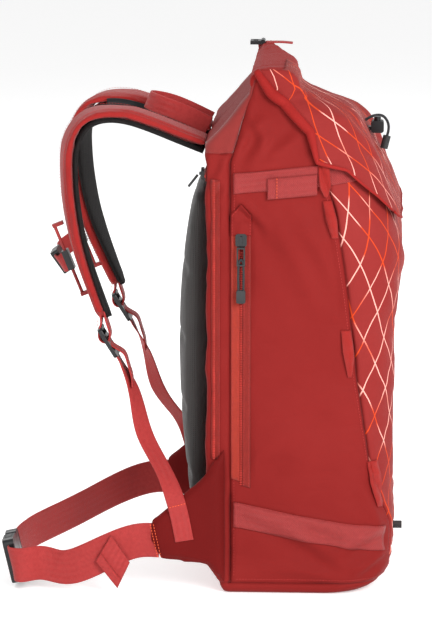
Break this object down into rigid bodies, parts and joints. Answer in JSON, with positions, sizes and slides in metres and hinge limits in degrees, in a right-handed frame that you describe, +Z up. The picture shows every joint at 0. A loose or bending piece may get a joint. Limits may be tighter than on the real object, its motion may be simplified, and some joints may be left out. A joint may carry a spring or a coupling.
{
  "type": "ski backpack",
  "caption": "Tall ski touring backpack with a roll top, storm flap, padded back and straps, hip belt, side zip and ski straps.",
  "frame": {"origin": "in the flat base, midway across and under the front third of the mouth", "axes": "+Z up, +X the wearer's right, -Y the outer patterned face, +Y the back pad and straps"},
  "size_m": [0.3034, 0.4325, 0.5717],
  "materials": {
    "shell_red": "satin coated fabric",
    "printed_red": "satin fabric with a printed net of lines",
    "matte_red": "matte coated fabric",
    "webbing_red": "woven webbing",
    "zip_red": "woven zip tape",
    "mesh_black": "knitted mesh",
    "pad_grey": "foam with matte face fabric",
    "cord_black": "braided cord",
    "buckle_black": "satin acetal",
    "rail_red": "moulded matte",
    "trim_black": "moulded matte",
    "slider_black": "glossy black",
    "frame_plastic": "extruded sheet",
    "stay_alloy": "brushed",
    "spring_steel": "drawn wire"
  },
  "bodies": {
    "pack": {"base_panel": "shell_red", "left_side_panel": "shell_red", "right_side_panel": "shell_red", "rear_panel": "shell_red", "left_hip_wing": "shell_red", "right_hip_wing": "shell_red", "left_shoulder_strap": "shell_red", "right_shoulder_strap": "shell_red", "top_yoke": "shell_red", "front_panel": "printed_red", "top_gussets": "matte_red", "left_ski_strap_upper": "webbing_red", "right_ski_strap_upper": "webbing_red", "left_ski_strap_lower": "webbing_red", "right_ski_strap_lower": "webbing_red", "gear_loops": "webbing_red", "haul_loop": "webbing_red", "left_end_tab": "webbing_red", "right_end_tab": "webbing_red", "left_load_webbing": "webbing_red", "right_load_webbing": "webbing_red", "left_waist_webbing": "webbing_red", "right_waist_webbing": "webbing_red", "side_zip_tape": "zip_red", "back_zip_tape": "zip_red", "left_strap_lining": "mesh_black", "right_strap_lining": "mesh_black", "back_pad": "pad_grey", "waist_buckle_socket": "buckle_black", "waist_buckle_plug": "buckle_black", "chest_rails": "rail_red", "lower_tab": "trim_black", "frame_sheet": "frame_plastic", "frame_stay": "stay_alloy"},
    "lid": {"lid_roll": "shell_red", "lid_flap": "printed_red", "roll_tab": "cord_black", "cord_lock_body": "buckle_black", "cord_lock_spring": "spring_steel", "tool_cord": "cord_black", "tool_cord_knob": "trim_black"},
    "roll_hook": {"roll_hook": "buckle_black"},
    "cord_lock_plunger": {"cord_lock_plunger": "buckle_black"},
    "left_ladder_lock": {"left_ladder_lock": "buckle_black"},
    "right_ladder_lock": {"right_ladder_lock": "buckle_black"},
    "chest_strap": {"chest_sliders": "buckle_black", "left_chest_webbing": "webbing_red", "right_chest_webbing": "webbing_red", "chest_buckle_socket": "buckle_black", "chest_buckle_plug": "buckle_black"},
    "chest_latch_upper": {"chest_buckle_latch_upper": "buckle_black"},
    "chest_latch_lower": {"chest_buckle_latch_lower": "buckle_black"},
    "waist_latch_upper": {"waist_buckle_latch_upper": "buckle_black"},
    "waist_latch_lower": {"waist_buckle_latch_lower": "buckle_black"},
    "side_zip_slider": {"side_zip_slider": "slider_black"},
    "side_zip_pull": {"side_zip_ring": "slider_black", "side_zip_cord": "cord_black", "side_zip_grip": "trim_black"},
    "back_zip_slider": {"back_zip_slider": "slider_black"},
    "back_zip_pull": {"back_zip_pull": "trim_black"}
  },
  "joints": [
    {"name": "lid_opening", "type": "hinge", "parent": "pack", "child": "lid", "pos_m": [0, 0.052, 0.541], "axis": [-1, 0, 0], "range_deg": [0, 100]},
    {"name": "roll_hook_swing", "type": "hinge", "parent": "lid", "child": "roll_hook", "pos_m": [0.105, 0.045, 0.5691], "axis": [1, 0, 0], "range_deg": [0, 120]},
    {"name": "cord_lock_press", "type": "slide", "parent": "lid", "child": "cord_lock_plunger", "axis": [0, 0, -1], "range_m": [0, 0.0035], "stiffness_N_per_m": 400, "deforming": ["cord_lock_spring"]},
    {"name": "left_ladder_lock_tilt", "type": "hinge", "parent": "pack", "child": "left_ladder_lock", "pos_m": [-0.099, 0.207, 0.275], "axis": [1, 0, 0], "range_deg": [-35, 25]},
    {"name": "right_ladder_lock_tilt", "type": "hinge", "parent": "pack", "child": "right_ladder_lock", "pos_m": [0.099, 0.207, 0.275], "axis": [1, 0, 0], "range_deg": [-35, 25]},
    {"name": "chest_strap_height", "type": "slide", "parent": "pack", "child": "chest_strap", "axis": [0, 0.3746, 0.9272], "range_m": [-0.025, 0.025]},
    {"name": "chest_latch_upper_press", "type": "hinge", "parent": "chest_strap", "child": "chest_latch_upper", "pos_m": [-0.02792, 0.26403, 0.35318], "axis": [0, -0.8192, 0.5736], "range_deg": [0, 8], "stiffness_Nm_per_rad": 0.08},
    {"name": "chest_latch_lower_press", "type": "hinge", "parent": "chest_strap", "child": "chest_latch_lower", "pos_m": [-0.02792, 0.25397, 0.33882], "axis": [0, 0.8192, -0.5736], "range_deg": [0, 8], "stiffness_Nm_per_rad": 0.08},
    {"name": "waist_latch_upper_press", "type": "hinge", "parent": "pack", "child": "waist_latch_upper", "pos_m": [-0.094, 0.31066, 0.04533], "axis": [0, -0.9744, 0.225], "range_deg": [0, 8], "stiffness_Nm_per_rad": 0.3},
    {"name": "waist_latch_lower_press", "type": "hinge", "parent": "pack", "child": "waist_latch_lower", "pos_m": [-0.094, 0.30334, 0.01367], "axis": [0, 0.9744, -0.225], "range_deg": [0, 8], "stiffness_Nm_per_rad": 0.3},
    {"name": "side_zip_slide", "type": "slide", "parent": "pack", "child": "side_zip_slider", "axis": [0, 0, -1], "range_m": [0, 0.255]},
    {"name": "side_zip_pull_swing", "type": "hinge", "parent": "side_zip_slider", "child": "side_zip_pull", "pos_m": [-0.1442, 0.059, 0.38], "axis": [0, 1, 0], "range_deg": [0, 150]},
    {"name": "back_zip_slide", "type": "slide", "parent": "pack", "child": "back_zip_slider", "axis": [1, 0, 0], "range_m": [0, 0.214]},
    {"name": "back_zip_pull_swing", "type": "hinge", "parent": "back_zip_slider", "child": "back_zip_pull", "pos_m": [-0.107, 0.106, 0.453], "axis": [1, 0, 0], "range_deg": [-15, 95]}
  ]
}
